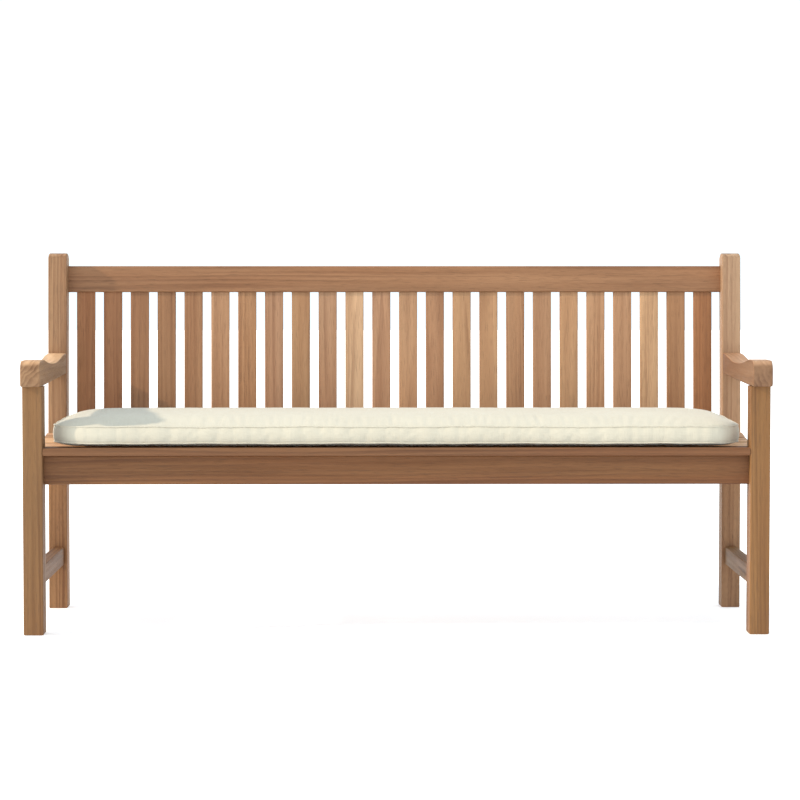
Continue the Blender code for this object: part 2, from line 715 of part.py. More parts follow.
def make_back(top_rail, low_rail, back):
    """The upright slats, housed in the top rail and the lower back rail."""
    centres = slat_centres()
    for number, x in enumerate(centres, start=1):
        make_back_slat(number, x, back)
    lower, upper = zip(*(slat_tenons(x) for x in centres))
    cut_mortises(low_rail, lower, back)
    cut_mortises(top_rail, upper, back)


def peg_side(side, hand, leg, post, arm, rails, bench, back):
    """The pegs that lock the armrest and the three rails of the back into one end of the bench."""
    inward = (-side, 0, 0)
    forward = (0, -1, 0)
    arm_z = ARM_HEIGHT - ARM_REAR_HEIGHT / 2
    leg_place = (side * WIDTH / 2, FRONT_LEG_DEPTH / 2, ARM_UNDERSIDE + LEG_TENON_HEIGHT / 2)
    add_peg(f"peg_arm_front_{hand}", (arm, leg), leg_place, inward, bench)
    post_place = (side * LEG_OUTSIDE, post_face(arm_z) + PEG_SETBACK, arm_z)
    add_peg(f"peg_arm_rear_{hand}", (post, arm), post_place, inward, bench)

    x = side * (LEG_INSIDE + PEG_SETBACK)
    top_rail, low_rail, rear_rail = rails
    top_place = (x, POST_DEPTH, (TOP_RAIL_TOP + TOP_RAIL_BOTTOM) / 2)
    add_peg(f"peg_top_rail_{hand}", (post, top_rail), top_place, forward, back)
    low_place = (x, POST_DEPTH, (LOW_RAIL_LIFT + LOW_RAIL_TOP) / 2)
    add_peg(f"peg_lower_back_rail_{hand}", (post, low_rail), low_place, forward, back)
    rear_place = (x, SEAT_DEPTH + POST_DEPTH, (RAIL_BOTTOM + REAR_RAIL_TOP) / 2)
    add_peg(f"peg_rear_rail_{hand}", (post, rear_rail), rear_place, forward, bench)


def build():
    clear_scene()
    rear_of_bench = max(y for y, z in post_outline())
    bench = empty("bench", location=(0, (ARM_OVERHANG - rear_of_bench) / 2, 0))
    back = empty("leaning_back", bench, (0, SEAT_DEPTH, BEND_HEIGHT), (-LEAN, 0, 0))
    hands = {-1: "left", 1: "right"}
    slats = seat_slats()

    legs = {side: make_front_leg(f"front_leg_{hand}", side, bench) for side, hand in hands.items()}
    posts = {side: make_post(f"back_post_{hand}", side, bench) for side, hand in hands.items()}

    front_low = (APRON_SETBACK, RAIL_BOTTOM)
    front_high = (APRON_SETBACK + RAIL_THICKNESS, RAIL_TOP - FIT)
    front_rail = make_cross_rail("front_rail", front_low, front_high, bench, TEAK_DARK)
    join_cross_rail(front_rail, APRON_SETBACK + RAIL_THICKNESS / 2, RAIL_BOTTOM, RAIL_TOP, legs, bench)

    rear_high = (REAR_RAIL_FRONT + RAIL_THICKNESS, REAR_RAIL_TOP)
    rear_rail = make_cross_rail("rear_rail", (REAR_RAIL_FRONT, RAIL_BOTTOM), rear_high, bench, TEAK_DARK)
    rear_middle = REAR_RAIL_FRONT + RAIL_THICKNESS / 2
    join_cross_rail(rear_rail, rear_middle, RAIL_BOTTOM, REAR_RAIL_TOP, posts, bench)

    top_low, top_high = (BACK_RAIL_SETBACK, TOP_RAIL_BOTTOM), (BACK_RAIL_REAR, TOP_RAIL_TOP)
    top_rail = make_cross_rail("top_rail", top_low, top_high, back, TEAK_MIDDLE)
    join_cross_rail(top_rail, BACK_MIDDLE, TOP_RAIL_BOTTOM, TOP_RAIL_TOP, posts, back)

    low_low, low_high = (BACK_RAIL_SETBACK, LOW_RAIL_LIFT), (BACK_RAIL_REAR, LOW_RAIL_TOP)
    low_rail = make_cross_rail("lower_back_rail", low_low, low_high, back, TEAK_MIDDLE)
    join_cross_rail(low_rail, BACK_MIDDLE, LOW_RAIL_LIFT, LOW_RAIL_TOP, posts, back)

    make_back(top_rail, low_rail, back)
    make_seat(front_rail, rear_rail, hands, slats, bench)
    rails = (top_rail, low_rail, rear_rail)
    for side, hand in hands.items():
        arm = make_side(side, hand, legs[side], posts[side], slats, bench)
        peg_side(side, hand, legs[side], posts[side], arm, rails, bench, back)
    make_cushion(bench)


build()
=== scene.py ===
"""Looks of the garden bench: camera, studio, teak for every board, and the sewn cushion."""
import math

import bpy
import numpy as np
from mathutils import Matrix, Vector


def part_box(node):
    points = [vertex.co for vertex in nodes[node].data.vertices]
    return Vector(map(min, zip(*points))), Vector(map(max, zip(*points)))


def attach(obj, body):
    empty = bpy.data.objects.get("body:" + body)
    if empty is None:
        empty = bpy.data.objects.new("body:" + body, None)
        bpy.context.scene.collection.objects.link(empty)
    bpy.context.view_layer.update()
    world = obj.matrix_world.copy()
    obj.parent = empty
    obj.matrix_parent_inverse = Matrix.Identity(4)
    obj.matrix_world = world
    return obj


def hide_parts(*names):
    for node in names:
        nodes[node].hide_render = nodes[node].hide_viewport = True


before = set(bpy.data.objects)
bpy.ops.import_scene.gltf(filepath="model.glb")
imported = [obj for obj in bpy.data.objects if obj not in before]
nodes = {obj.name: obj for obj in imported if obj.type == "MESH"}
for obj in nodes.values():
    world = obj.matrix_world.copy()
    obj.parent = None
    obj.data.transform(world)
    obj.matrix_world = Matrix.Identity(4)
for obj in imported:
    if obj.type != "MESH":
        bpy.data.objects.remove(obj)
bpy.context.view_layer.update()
scene = bpy.context.scene

LEAN = math.radians(3.2)  # of the back
Z_AXIS = Vector((0, 0, 1))


# ---------------------------------------------------------------- camera, light and floor
def linear(colour):
    """Linear values of an sRGB colour given as 0 to 255."""
    shares = [c / 255 for c in colour]
    return tuple(s / 12.92 if s <= 0.04045 else ((s + 0.055) / 1.055) ** 2.4 for s in shares)


def make_camera():
    data = bpy.data.cameras.new("camera")
    data.lens = 120.56
    data.sensor_width = 36.0
    camera = bpy.data.objects.new("camera", data)
    scene.collection.objects.link(camera)
    pitch, yaw = 0.05038, 0.01155
    level = math.cos(pitch)
    forward = Vector((math.sin(yaw) * level, math.cos(yaw) * level, -math.sin(pitch)))
    camera.location = (-0.0669, -6.7076, 0.8907)
    camera.rotation_mode = "QUATERNION"
    camera.rotation_quaternion = forward.to_track_quat("-Z", "Y")
    scene.camera = camera


def make_floor():
    mesh = bpy.data.meshes.new("floor")
    half = 30.0
    corners = [(-half, -half, 0), (half, -half, 0), (half, half, 0), (-half, half, 0)]
    mesh.from_pydata(corners, [], [(0, 1, 2, 3)])
    floor = bpy.data.objects.new("floor", mesh)
    floor.location.z = -0.0005
    scene.collection.objects.link(floor)
    mat = bpy.data.materials.new("floor")
    mat.use_nodes = True
    shader = mat.node_tree.nodes["Principled BSDF"]
    shader.inputs["Base Color"].default_value = (0.9, 0.9, 0.9, 1)
    shader.inputs["Roughness"].default_value = 0.9
    shader.inputs["Emission Color"].default_value = (1, 1, 1, 1)
    shader.inputs["Emission Strength"].default_value = 0.42
    mesh.materials.append(mat)


# ---------------------------------------------------------------- node tree helpers
class Tree:
    """Short calls for building a node tree. A value is a number, a vector or another node's socket."""

    def __init__(self, tree):
        self.tree = tree

    def add(self, kind, **settings):
        node = self.tree.nodes.new(kind)
        for name, value in settings.items():
            setattr(node, name, value)
        return node

    def put(self, socket, value):
        if isinstance(value, bpy.types.NodeSocket):
            self.tree.links.new(value, socket)
        else:
            socket.default_value = value

    def math(self, operation, *values, clamp=False):
        node = self.add("ShaderNodeMath", operation=operation, use_clamp=clamp)
        for socket, value in zip(node.inputs, values):
            self.put(socket, value)
        return node.outputs[0]

    def vector(self, operation, *values, scale=None):
        node = self.add("ShaderNodeVectorMath", operation=operation)
        for socket, value in zip(node.inputs, values):
            self.put(socket, value)
        if scale is not None:
            self.put(node.inputs["Scale"], scale)
        return node.outputs["Value"] if operation in ("LENGTH", "DOT_PRODUCT") else node.outputs[0]

    def noise(self, vector, scale=1.0, detail=2.0, roughness=0.5, colour=False):
        node = self.add("ShaderNodeTexNoise")
        self.put(node.inputs["Vector"], vector)
        self.put(node.inputs["Scale"], scale)
        self.put(node.inputs["Detail"], detail)
        self.put(node.inputs["Roughness"], roughness)
        return node.outputs["Color" if colour else "Fac"]

    def spread(self, value, low, high, to_low=0.0, to_high=1.0, smooth=False):
        node = self.add("ShaderNodeMapRange", clamp=True)
        node.interpolation_type = "SMOOTHSTEP" if smooth else "LINEAR"
        names = ("Value", "From Min", "From Max", "To Min", "To Max")
        for name, number in zip(names, (value, low, high, to_low, to_high)):
            self.put(node.inputs[name], number)
        return node.outputs["Result"]

    def mix(self, share, first, second, blend="MIX"):
        node = self.add("ShaderNodeMix", data_type="RGBA", blend_type=blend, clamp_factor=True)
        self.put(node.inputs["Factor"], share)
        self.put(node.inputs[6], first)
        self.put(node.inputs[7], second)
        return node.outputs[2]

    def bump(self, height, distance, strength=1.0, normal=None):
        node = self.add("ShaderNodeBump")
        self.put(node.inputs["Height"], height)
        self.put(node.inputs["Distance"], distance)
        self.put(node.inputs["Strength"], strength)
        if normal is not None:
            self.put(node.inputs["Normal"], normal)
        return node.outputs["Normal"]


def make_lights():
    """A pale sky all round and a low warm key light from the left."""
    world = bpy.data.worlds.new("world")
    scene.world = world
    world.use_nodes = True
    background = world.node_tree.nodes["Background"]
    background.inputs["Color"].default_value = (0.875, 1.0, 1.09, 1.0)
    background.inputs["Strength"].default_value = 1.16
    sun = bpy.data.lights.new("key", "SUN")
    sun.energy = 3.2
    sun.angle = math.radians(2)
    sun.color = (1.0, 0.85, 0.66)
    key = bpy.data.objects.new("key", sun)
    key.rotation_mode = "QUATERNION"
    key.rotation_quaternion = Vector((0.88, 0.20, -0.44)).to_track_quat("-Z", "Y")
    scene.collection.objects.link(key)


def group_tree(name, inputs, outputs):
    """An empty shader group with the named sockets: (tree, its input node, its output node)."""
    group = bpy.data.node_groups.new(name, "ShaderNodeTree")
    for in_out, sockets in (("INPUT", inputs), ("OUTPUT", outputs)):
        for socket, kind in sockets:
            group.interface.new_socket(socket, in_out=in_out, socket_type="NodeSocket" + kind)
    t = Tree(group)
    return t, t.add("NodeGroupInput").outputs, t.add("NodeGroupOutput").inputs


# ---------------------------------------------------------------- teak
def teak_group():
    """Figure of a teak board whose grain runs along Z of the given place, in metres, with painted light on
    its upward faces and painted shade below the seat.
    """
    t, given, made = group_tree(
        "teak_figure",
        [("Place", "Vector")]
        + [(name, "Color") for name in ("Light", "Dark", "FootShade")]
        + [(name, "Float") for name in ("Figure", "TopLight")],
        [("Color", "Color"), ("Roughness", "Float"), ("Height", "Float")],
    )
    place = given["Place"]
    drift = t.noise(t.vector("MULTIPLY", place, (8, 8, 0.8)), detail=2, colour=True)
    drift = t.vector("SCALE", t.vector("SUBTRACT", drift, (0.5, 0.5, 0.5)), scale=0.03)
    bent = t.vector("ADD", place, drift)
    pith = t.vector("LENGTH", t.vector("MULTIPLY", bent, (1, 1, 0.06)))
    wander = t.noise(t.vector("MULTIPLY", bent, (40, 40, 1.1)), detail=1)
    ring = t.math("FRACT", t.math("ADD", t.math("MULTIPLY", pith, 90), t.math("MULTIPLY", wander, 2.2)))
    rise = t.spread(ring, 0.15, 0.86, smooth=True)
    fall = t.spread(ring, 0.9, 1.0, 1, 0, smooth=True)
    latewood = t.math("MULTIPLY", rise, fall)
    patchy = t.spread(t.noise(t.vector("MULTIPLY", bent, (30, 30, 1.1)), detail=1), 0.35, 0.65)
    figure = t.math("MULTIPLY", t.math("MULTIPLY", latewood, patchy), given["Figure"])
    streak = t.noise(t.vector("MULTIPLY", bent, (75, 75, 1.6)), detail=3, roughness=0.55)
    streak = t.spread(streak, 0.3, 0.72)
    broad = t.spread(t.noise(t.vector("MULTIPLY", bent, (22, 22, 1.3)), detail=2), 0.3, 0.7)
    fibre = t.noise(t.vector("MULTIPLY", place, (1500, 1500, 40)), detail=2, roughness=0.6)
    pore = t.spread(t.noise(t.vector("MULTIPLY", place, (1100, 1100, 28)), detail=0), 0.66, 0.74)
    tone = t.math("ADD", t.math("MULTIPLY", streak, 0.28), t.math("MULTIPLY", broad, 0.36))
    tone = t.math("ADD", tone, t.math("MULTIPLY", figure, 0.34))
    tone = t.math("ADD", tone, t.spread(fibre, 0.3, 0.7, -0.07, 0.07))
    colour = t.mix(t.math("MULTIPLY", tone, 1.0, clamp=True), given["Light"], given["Dark"])
    warm = t.noise(t.vector("MULTIPLY", bent, (14, 14, 1.2)), detail=1)
    tinted = t.mix(1.0, colour, (1.0, 0.91, 0.84, 1), "MULTIPLY")
    colour = t.mix(t.spread(warm, 0.4, 0.7, 0, 0.8), colour, tinted)
    colour = t.mix(t.math("MULTIPLY", pore, 0.35), colour, (0.09, 0.045, 0.022, 1))
    # Painted top light: faces that turn up are made up to about twice as light, standing in for the warm key
    # light on the arm tops and seat slats.
    up = t.vector("DOT_PRODUCT", t.add("ShaderNodeNewGeometry").outputs["Normal"], (0, 0, 1))
    top_light_share = t.math("MULTIPLY", t.spread(up, 0.35, 0.9, smooth=True), given["TopLight"])
    lit_top_colour = t.mix(1.0, colour, (2.1, 2.25, 2.45, 1), "MULTIPLY")
    colour = t.mix(top_light_share, colour, lit_top_colour)
    # Painted shade: below the seat the colour is multiplied by the Foot colour, darkening the lower back
    # posts as the seat's shadow does.
    height = t.add("ShaderNodeSeparateXYZ")
    t.put(height.inputs[0], t.add("ShaderNodeTexCoord").outputs["Object"])
    low = t.spread(height.outputs["Z"], 0.46, 0.34, smooth=True)
    t.put(made["Color"], t.mix(low, colour, t.mix(1.0, colour, given["FootShade"], "MULTIPLY")))
    t.put(made["Roughness"], t.spread(t.math("ADD", streak, fibre), 0.5, 1.6, 0.54, 0.7))
    depth = t.math("SUBTRACT", t.math("MULTIPLY", fibre, 0.5), t.math("MULTIPLY", pore, 0.9))
    t.put(made["Height"], t.math("SUBTRACT", depth, t.math("MULTIPLY", figure, 0.35)))
    return t.tree


TEAK = teak_group()
TURN = {
    "x": (0, math.radians(-90), 0),
    "y": (math.radians(90), 0, 0),
    "z": (0, 0, 0),
    "lean": (LEAN, 0, 0),
}


def teak(name, colour, along, shift, figure=1.0, top_light=0.0, contrast=1.0, foot=(1, 1, 1)):
    """Teak of one board.

    Colour is its mean in sRGB, along the way its grain runs, shift the place in the log that it was cut
    from, bleach how much painted light lightens its upward faces, and foot the painted shade that darkens
    it below the seat.
    """
    mat = bpy.data.materials.new(name)
    mat.use_nodes = True
    t = Tree(mat.node_tree)
    shader = mat.node_tree.nodes["Principled BSDF"]
    mapping = t.add("ShaderNodeMapping", vector_type="POINT")
    t.put(mapping.inputs["Vector"], t.add("ShaderNodeTexCoord").outputs["Object"])
    mapping.inputs["Rotation"].default_value = TURN[along]
    mapping.inputs["Location"].default_value = shift
    group = t.add("ShaderNodeGroup", node_tree=TEAK)
    t.put(group.inputs["Place"], mapping.outputs["Vector"])
    mean = linear(colour)
    light = [c * (1 + k * contrast) for c, k in zip(mean, (0.24, 0.27, 0.30))]
    dark = [c * (1 - k * contrast) for c, k in zip(mean, (0.34, 0.42, 0.46))]
    group.inputs["Light"].default_value = (*light, 1)
    group.inputs["Dark"].default_value = (*dark, 1)
    group.inputs["FootShade"].default_value = (*foot, 1)
    group.inputs["Figure"].default_value = figure
    group.inputs["TopLight"].default_value = top_light
    t.put(shader.inputs["Base Color"], group.outputs["Color"])
    t.put(shader.inputs["Roughness"], group.outputs["Roughness"])
    t.put(shader.inputs["Normal"], t.bump(group.outputs["Height"], 0.00035, 0.7))
    shader.inputs["Specular IOR Level"].default_value = 0.35
    return mat


def soft_edges():
    """Modifier tree that joins the split corners of a CAD mesh and shades its rounded edges smoothly."""
    group = bpy.data.node_groups.new("soft_edges", "GeometryNodeTree")
    for in_out in ("INPUT", "OUTPUT"):
        group.interface.new_socket("Geometry", in_out=in_out, socket_type="NodeSocketGeometry")
    t = Tree(group)
    bare = t.add("GeometryNodeRemoveAttribute")
    t.put(bare.inputs["Geometry"], t.add("NodeGroupInput").outputs[0])
    bare.inputs["Name"].default_value = "custom_normal"
    merge = t.add("GeometryNodeMergeByDistance")
    t.put(merge.inputs["Geometry"], bare.outputs["Geometry"])
    merge.inputs["Distance"].default_value = 0.00002
    smooth = t.add("GeometryNodeSetShadeSmooth", domain="FACE")
    t.put(smooth.inputs["Geometry"], merge.outputs["Geometry"])
    crease = t.add("GeometryNodeSetShadeSmooth", domain="EDGE")
    t.put(crease.inputs["Geometry"], smooth.outputs["Geometry"])
    angle = t.add("GeometryNodeInputMeshEdgeAngle").outputs["Unsigned Angle"]
    t.put(crease.inputs["Shade Smooth"], t.math("LESS_THAN", angle, math.radians(52)))
    t.put(t.add("NodeGroupOutput").inputs[0], crease.outputs["Geometry"])
    return group


SOFT_EDGES = soft_edges()


def finish_board(name, mat):
    node = nodes[name]
    for slot in node.material_slots:
        slot.material = mat
    modifier = node.modifiers.new("soft_edges", "NODES")
    modifier.node_group = SOFT_EDGES
    weighted = node.modifiers.new("weighted", "WEIGHTED_NORMAL")
    weighted.keep_sharp = True


# Mean colour of each back slat from left to right: the darker slats next to the left post carry painted shade
# of that post, the rest differ in tone.
BACK_SLATS = (
    (144, 98, 64), (147, 99, 65), (140, 99, 68), (140, 101, 70), (152, 110, 77), (167, 125, 91),
    (162, 121, 86), (161, 121, 91), (156, 117, 83), (160, 122, 92), (184, 147, 113), (171, 130, 98),
    (168, 127, 93), (158, 116, 84), (169, 128, 92), (171, 133, 98), (161, 119, 85), (165, 124, 91),
    (174, 134, 98), (173, 131, 96), (169, 127, 93), (183, 146, 110), (155, 113, 78), (149, 103, 67),
)


# Painted shade of the seat on the lower back posts, stronger on the right post.
PAINTED_FOOT_SHADE = {"back_post_left": (0.82, 0.74, 0.6), "back_post_right": (0.7, 0.62, 0.52)}


def finish_boards():
    draw = np.random.default_rng(7)

    def shift():
        return tuple(draw.uniform(-0.16, 0.16, 2)) + (draw.uniform(-2, 2),)

    boards = {
        "front_leg_left": ((120, 86, 51), "z"),
        "front_leg_right": ((122, 85, 47), "z"),
        "back_post_left": ((152, 115, 82), "lean"),
        "back_post_right": ((160, 128, 99), "lean"),
        "armrest_left": ((144, 113, 82), "y"),
        "armrest_right": ((120, 88, 62), "y"),
        "front_rail": ((112, 72, 39), "x"),
        "rear_rail": ((150, 108, 76), "x"),
        "top_rail": ((138, 98, 67), "x"),
        "lower_back_rail": ((160, 118, 86), "x"),
        "side_rail_left": ((152, 113, 80), "y"),
        "side_rail_right": ((150, 110, 78), "y"),
        "side_stretcher_left": ((112, 78, 46), "y"),
        "side_stretcher_right": ((118, 84, 46), "y"),
        "seat_bearer_left": ((150, 110, 76), "y"),
        "seat_bearer_right": ((155, 115, 82), "y"),
        "seat_front_board": ((108, 71, 42), "x"),
    }
    for i in range(1, 7):
        boards[f"seat_slat_{i}"] = ((158 + 4 * (i % 3), 118 + 5 * (i % 3), 84 + 4 * (i % 3)), "x")
    for i, colour in enumerate(BACK_SLATS, start=1):
        boards[f"back_slat_{i:02d}"] = (colour, "lean")
    for name, (colour, along) in boards.items():
        # How strongly painted light lightens the upward faces of each board, strongest on the armrests and
        # seat slats.
        top_light = 1.0 if name.startswith("armrest") else 0.55 if name.startswith("seat_slat") else 0.12
        contrast = 1.15 if name.startswith("back_slat") else 1.6
        foot = PAINTED_FOOT_SHADE.get(name, (1, 1, 1))
        mat = teak("teak_" + name, colour, along, shift(), top_light=top_light, contrast=contrast, foot=foot)
        finish_board(name, mat)
    for name in nodes:
        if name.startswith("peg_"):
            along = "y" if "rail" in name else "x"
            finish_board(name, teak("teak_" + name, (128, 88, 58), along, shift()))


# ---------------------------------------------------------------- cushion
COVER_LOW, COVER_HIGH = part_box("cushion_cover")
ZIP_LOW, ZIP_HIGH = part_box("cushion_zip")
REST_TILT = 0.0046 / 0.462  # the seat's rise from the cushion's front edge to its rear edge
SEAM_LIFT = 0.009  # bottom seam above the lowest point
WALL = 0.040  # between the seams
CROWN = 0.019
BELLY = 0.0087
CORNER = 0.085
PULL_IN = 0.004  # of the long sides between the corners
BULGE = 0.003  # of the wall between the seams
MOST_SWELL = 0.007  # that the stuffing may move a point
CELLS_X, CELLS_Y, CELLS_WALL = 250, 70, 6
STUFFING_FRAMES = 20
PIPING_RADIUS = 0.0019
PIPING_STEP = 0.004
ZIP_PITCH = 0.0026  # from tooth to tooth
TOP_SEAM_WAVES = ((0.0004, 0.071, 0.2), (0.0008, 0.43, 1.3), (0.0004, 0.19, 2.2))
BOTTOM_SEAM_WAVES = ((0.0004, 0.11, 0.9), (0.0005, 0.37, 0.1))


def rest_height(y):
    return COVER_LOW.z + 0.0003 + REST_TILT * (y - COVER_LOW.y)


def waves(along, parts):
    """Sum of sines along a length in metres. Each part is a height, a wavelength and a phase."""
    return sum(h * math.sin(2 * math.pi * along / length + phase) for h, length, phase in parts)


def plan_point(i, j):
    """Plan of a grid corner of the cushion, and how far in from the rim it is along X and Y."""
    half_x, half_y = (COVER_HIGH.x - COVER_LOW.x) / 2 - BULGE, (COVER_HIGH.y - COVER_LOW.y) / 2 - BULGE
    x, y = half_x * (2 * i / CELLS_X - 1), half_y * (2 * j / CELLS_Y - 1)
    inward = half_x - abs(x), half_y - abs(y)
    dx, dy = (abs(x) - half_x + CORNER) / CORNER, (abs(y) - half_y + CORNER) / CORNER
    if dx > 0 and dy > 0:
        x = math.copysign(half_x - CORNER + CORNER * dx * math.sqrt(1 - dy * dy / 2), x)
        y = math.copysign(half_y - CORNER + CORNER * dy * math.sqrt(1 - dx * dx / 2), y)
    y -= math.copysign(PULL_IN * (1 - (x / half_x) ** 2) * abs(y) / half_y, y)
    return x, (COVER_LOW.y + COVER_HIGH.y) / 2 + y, inward


def crown_share(distance):
    return 1 - math.exp(-((distance / 0.034) ** 0.9))


def seam_offset(x, y, top):
    """How far the hand-sewn seam strays outwards and upwards at a plan point."""
    along = x + 0.7 * y
    stray = waves(along, ((0.0005, 0.083, 0.4), (0.0002, 0.046, 2.0), (0.0008, 0.31, 1.1)))
    return stray, waves(along, TOP_SEAM_WAVES if top else BOTTOM_SEAM_WAVES)


def cushion_blank():
    """Closed box cushion before it is stuffed: points, faces, and the rings of its wall from the top down."""
    points, faces, rings = [], [], []
    rim = [(i, 0) for i in range(CELLS_X)] + [(CELLS_X, j) for j in range(CELLS_Y)]
    rim += [(i, CELLS_Y) for i in range(CELLS_X, 0, -1)] + [(0, j) for j in range(CELLS_Y, 0, -1)]
    for top in (True, False):
        index = {}
        for i in range(CELLS_X + 1):
            for j in range(CELLS_Y + 1):
                x, y, (in_x, in_y) = plan_point(i, j)
                share = crown_share(in_x) * crown_share(in_y)
                z = rest_height(y) + SEAM_LIFT
                z += WALL + CROWN * share if top else -BELLY * min(1.0, share * 1.15)
                if share == 0:
                    stray, lift = seam_offset(x, y, top)
                    x, y, z = x * (1 + stray / 0.8), y + math.copysign(stray, y), z + lift
                index[i, j] = len(points)
                points.append((x, y, z))
        rings.append([index[key] for key in rim])
        for i in range(CELLS_X):
            for j in range(CELLS_Y):
                quad = index[i, j], index[i + 1, j], index[i + 1, j + 1], index[i, j + 1]
                faces.append(quad if top else quad[::-1])
    top, bottom = rings
    rings = [top]
    for row in range(1, CELLS_WALL):
        share = row / CELLS_WALL
        ring = []
        for k, (a, b) in enumerate(zip(top, bottom)):
            spot = Vector(points[a]).lerp(Vector(points[b]), share)
            along = Vector(points[bottom[(k + 1) % len(rim)]]) - Vector(points[bottom[k - 1]])
            outward = along.cross(Z_AXIS).normalized()
            ring.append(len(points))
            points.append(tuple(spot + outward * BULGE * math.sin(math.pi * share)))
        rings.append(ring)
    rings.append(bottom)
    for above, below in zip(rings, rings[1:]):
        for k in range(len(rim)):
            n = (k + 1) % len(rim)
            faces.append((above[k], below[k], below[n], above[n]))
    return points, faces, rings


def stuff(cushion, pinned):
    """Swells the sewn cover a little with its seams held, and gives its points, creases and all."""
    pins = cushion.vertex_groups.new(name="seams")
    pins.add(pinned, 1.0, "REPLACE")
    cloth = cushion.modifiers.new("cloth", "CLOTH")
    cloth.settings.quality = 5
    cloth.settings.mass = 0.25
    cloth.settings.tension_stiffness = 12
    cloth.settings.compression_stiffness = 12
    cloth.settings.shear_stiffness = 4
    cloth.settings.bending_stiffness = 0.15
    cloth.settings.use_pressure = True
    cloth.settings.uniform_pressure_force = 4
    cloth.settings.shrink_min = -0.007
    cloth.settings.vertex_group_mass = "seams"
    cloth.settings.effector_weights.gravity = 0
    cloth.point_cache.frame_start, cloth.point_cache.frame_end = 1, STUFFING_FRAMES
    for number in range(1, STUFFING_FRAMES + 1):
        scene.frame_set(number)
    stuffed = cushion.evaluated_get(bpy.context.evaluated_depsgraph_get()).data
    moved = np.empty(len(stuffed.vertices) * 3)
    stuffed.vertices.foreach_get("co", moved)
    cushion.modifiers.remove(cloth)
    scene.frame_set(1)
    return moved.reshape(-1, 3)


def new_piece(name, points, faces, mat, body):
    mesh = bpy.data.meshes.new(name)
    mesh.from_pydata([tuple(p) for p in points], [], [tuple(f) for f in faces])
    mesh.polygons.foreach_set("use_smooth", [True] * len(mesh.polygons))
    mesh.materials.append(mat)
    piece = bpy.data.objects.new(name, mesh)
    scene.collection.objects.link(piece)
    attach(piece, body)
    return piece


def evenly(loop, step):
    """The same closed loop with its corners eased and its points about one step apart."""
    loop = np.array(loop)
    for _ in range(3):
        loop = (np.roll(loop, 1, axis=0) + 2 * loop + np.roll(loop, -1, axis=0)) / 4
    closed = np.vstack([loop, loop[:1]])
    reach = np.concatenate([[0], np.cumsum(np.linalg.norm(np.diff(closed, axis=0), axis=1))])
    spots = np.linspace(0, reach[-1], round(reach[-1] / step), endpoint=False)
    columns = [np.interp(spots, reach, axis) for axis in closed.T]
    return [Vector(spot) for spot in np.column_stack(columns)]


def piping(name, loop, mat):
    """A closed welt of cloth over cord, with the small puckers that sewing round a cord makes."""
    centres = evenly(loop, PIPING_STEP)
    count, sides = len(centres), 10
    points, faces = [], []
    for k in range(count):
        along = (centres[(k + 1) % count] - centres[k - 1]).normalized()
        out = along.cross(Z_AXIS).normalized()
        up = along.cross(out)
        reach = PIPING_STEP * k
        size = PIPING_RADIUS * (1 + waves(reach, ((0.05, 0.021, 0), (0.04, 0.034, 1), (0.03, 0.15, 2))))
        for side in range(sides):
            angle = 2 * math.pi * side / sides
            points.append(centres[k] + size * (out * math.cos(angle) + up * math.sin(angle)))
    for k in range(count):
        for side in range(sides):
            a, b = k * sides + side, k * sides + (side + 1) % sides
            c, d = ((k + 1) % count) * sides + (side + 1) % sides, ((k + 1) % count) * sides + side
            faces.append((a, d, c, b))
    return new_piece(name, points, faces, mat, "cushion")


def block(points, faces, centre, size, along, up):
    """Adds a box to a mesh under way: its middle, its three sizes and its first and last axes."""
    across = up.cross(along)
    first = len(points)
    for c in (-1, 1):
        for b in (-1, 1):
            for a in (-1, 1):
                corner = along * (a * size[0] / 2) + across * (b * size[1] / 2) + up * (c * size[2] / 2)
                points.append(centre + corner)
    for face in ((0, 2, 3, 1), (4, 5, 7, 6), (0, 1, 5, 4), (2, 6, 7, 3), (0, 4, 6, 2), (1, 3, 7, 5)):
        faces.append([first + k for k in face])


def zip_fastener(shape, rings):
    """Tapes, coil, slider and pull of the zip in the rear wall of the stuffed cover."""
    half = (ZIP_HIGH.x - ZIP_LOW.x) / 2
    top = [shape[at] for at in rings[0]]
    columns = [k for k, spot in enumerate(top) if spot[1] > COVER_HIGH.y - 0.03 and abs(spot[0]) < half]
    columns.sort(key=lambda k: top[k][0])
    middle = [shape[rings[len(rings) // 2][k]] for k in columns]
    xs, ys, zs = ([spot[axis] for spot in middle] for axis in range(3))

    def on_wall(x, out, rise=0.0):
        """The point of the wall's middle line at x, moved out of the wall and up."""
        return Vector((x, np.interp(x, xs, ys) + out, np.interp(x, xs, zs) + rise))

    tape = zip_tapes(shape, rings[1:-1], columns)
    away, right = Vector((0, 1, 0)), Vector((1, 0, 0))
    points, faces = [], []
    for k in range(int(2 * (half - 0.01) / ZIP_PITCH)):
        side = 1 if k % 2 else -1
        lean = Vector((1, 0, 0.35 * side)).normalized()
        centre = on_wall(-half + 0.01 + ZIP_PITCH * k, 0.0020, side * 0.0007)
        block(points, faces, centre, (0.0015, 0.0011, 0.0044), lean, lean.cross(away))
    nylon = plastic("zip_nylon", (196, 190, 170))
    coil = new_piece("zip_coil", points, faces, nylon, "cushion")
    centre = on_wall(half - 0.03, 0.0028)
    hang = Vector((-0.35, 0.03, -1)).normalized()
    points, faces = [], []
    block(points, faces, centre, (0.011, 0.0090, 0.0030), right, away)
    block(points, faces, centre + away * 0.0026, (0.0060, 0.0026, 0.0022), right, away)
    block(points, faces, centre + away * 0.0030 + hang * 0.012, (0.021, 0.0046, 0.0012), hang, away)
    zinc = plastic("zip_metal", (150, 147, 140), metal=True)
    slider = new_piece("zip_slider", points, faces, zinc, "cushion")
    for piece, width in ((coil, 0.0003), (slider, 0.0005)):
        bevel = piece.modifiers.new("round", "BEVEL")
        bevel.width, bevel.segments = width, 2
        piece.data.polygons.foreach_set("use_smooth", [False] * len(piece.data.polygons))
    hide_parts("cushion_zip")


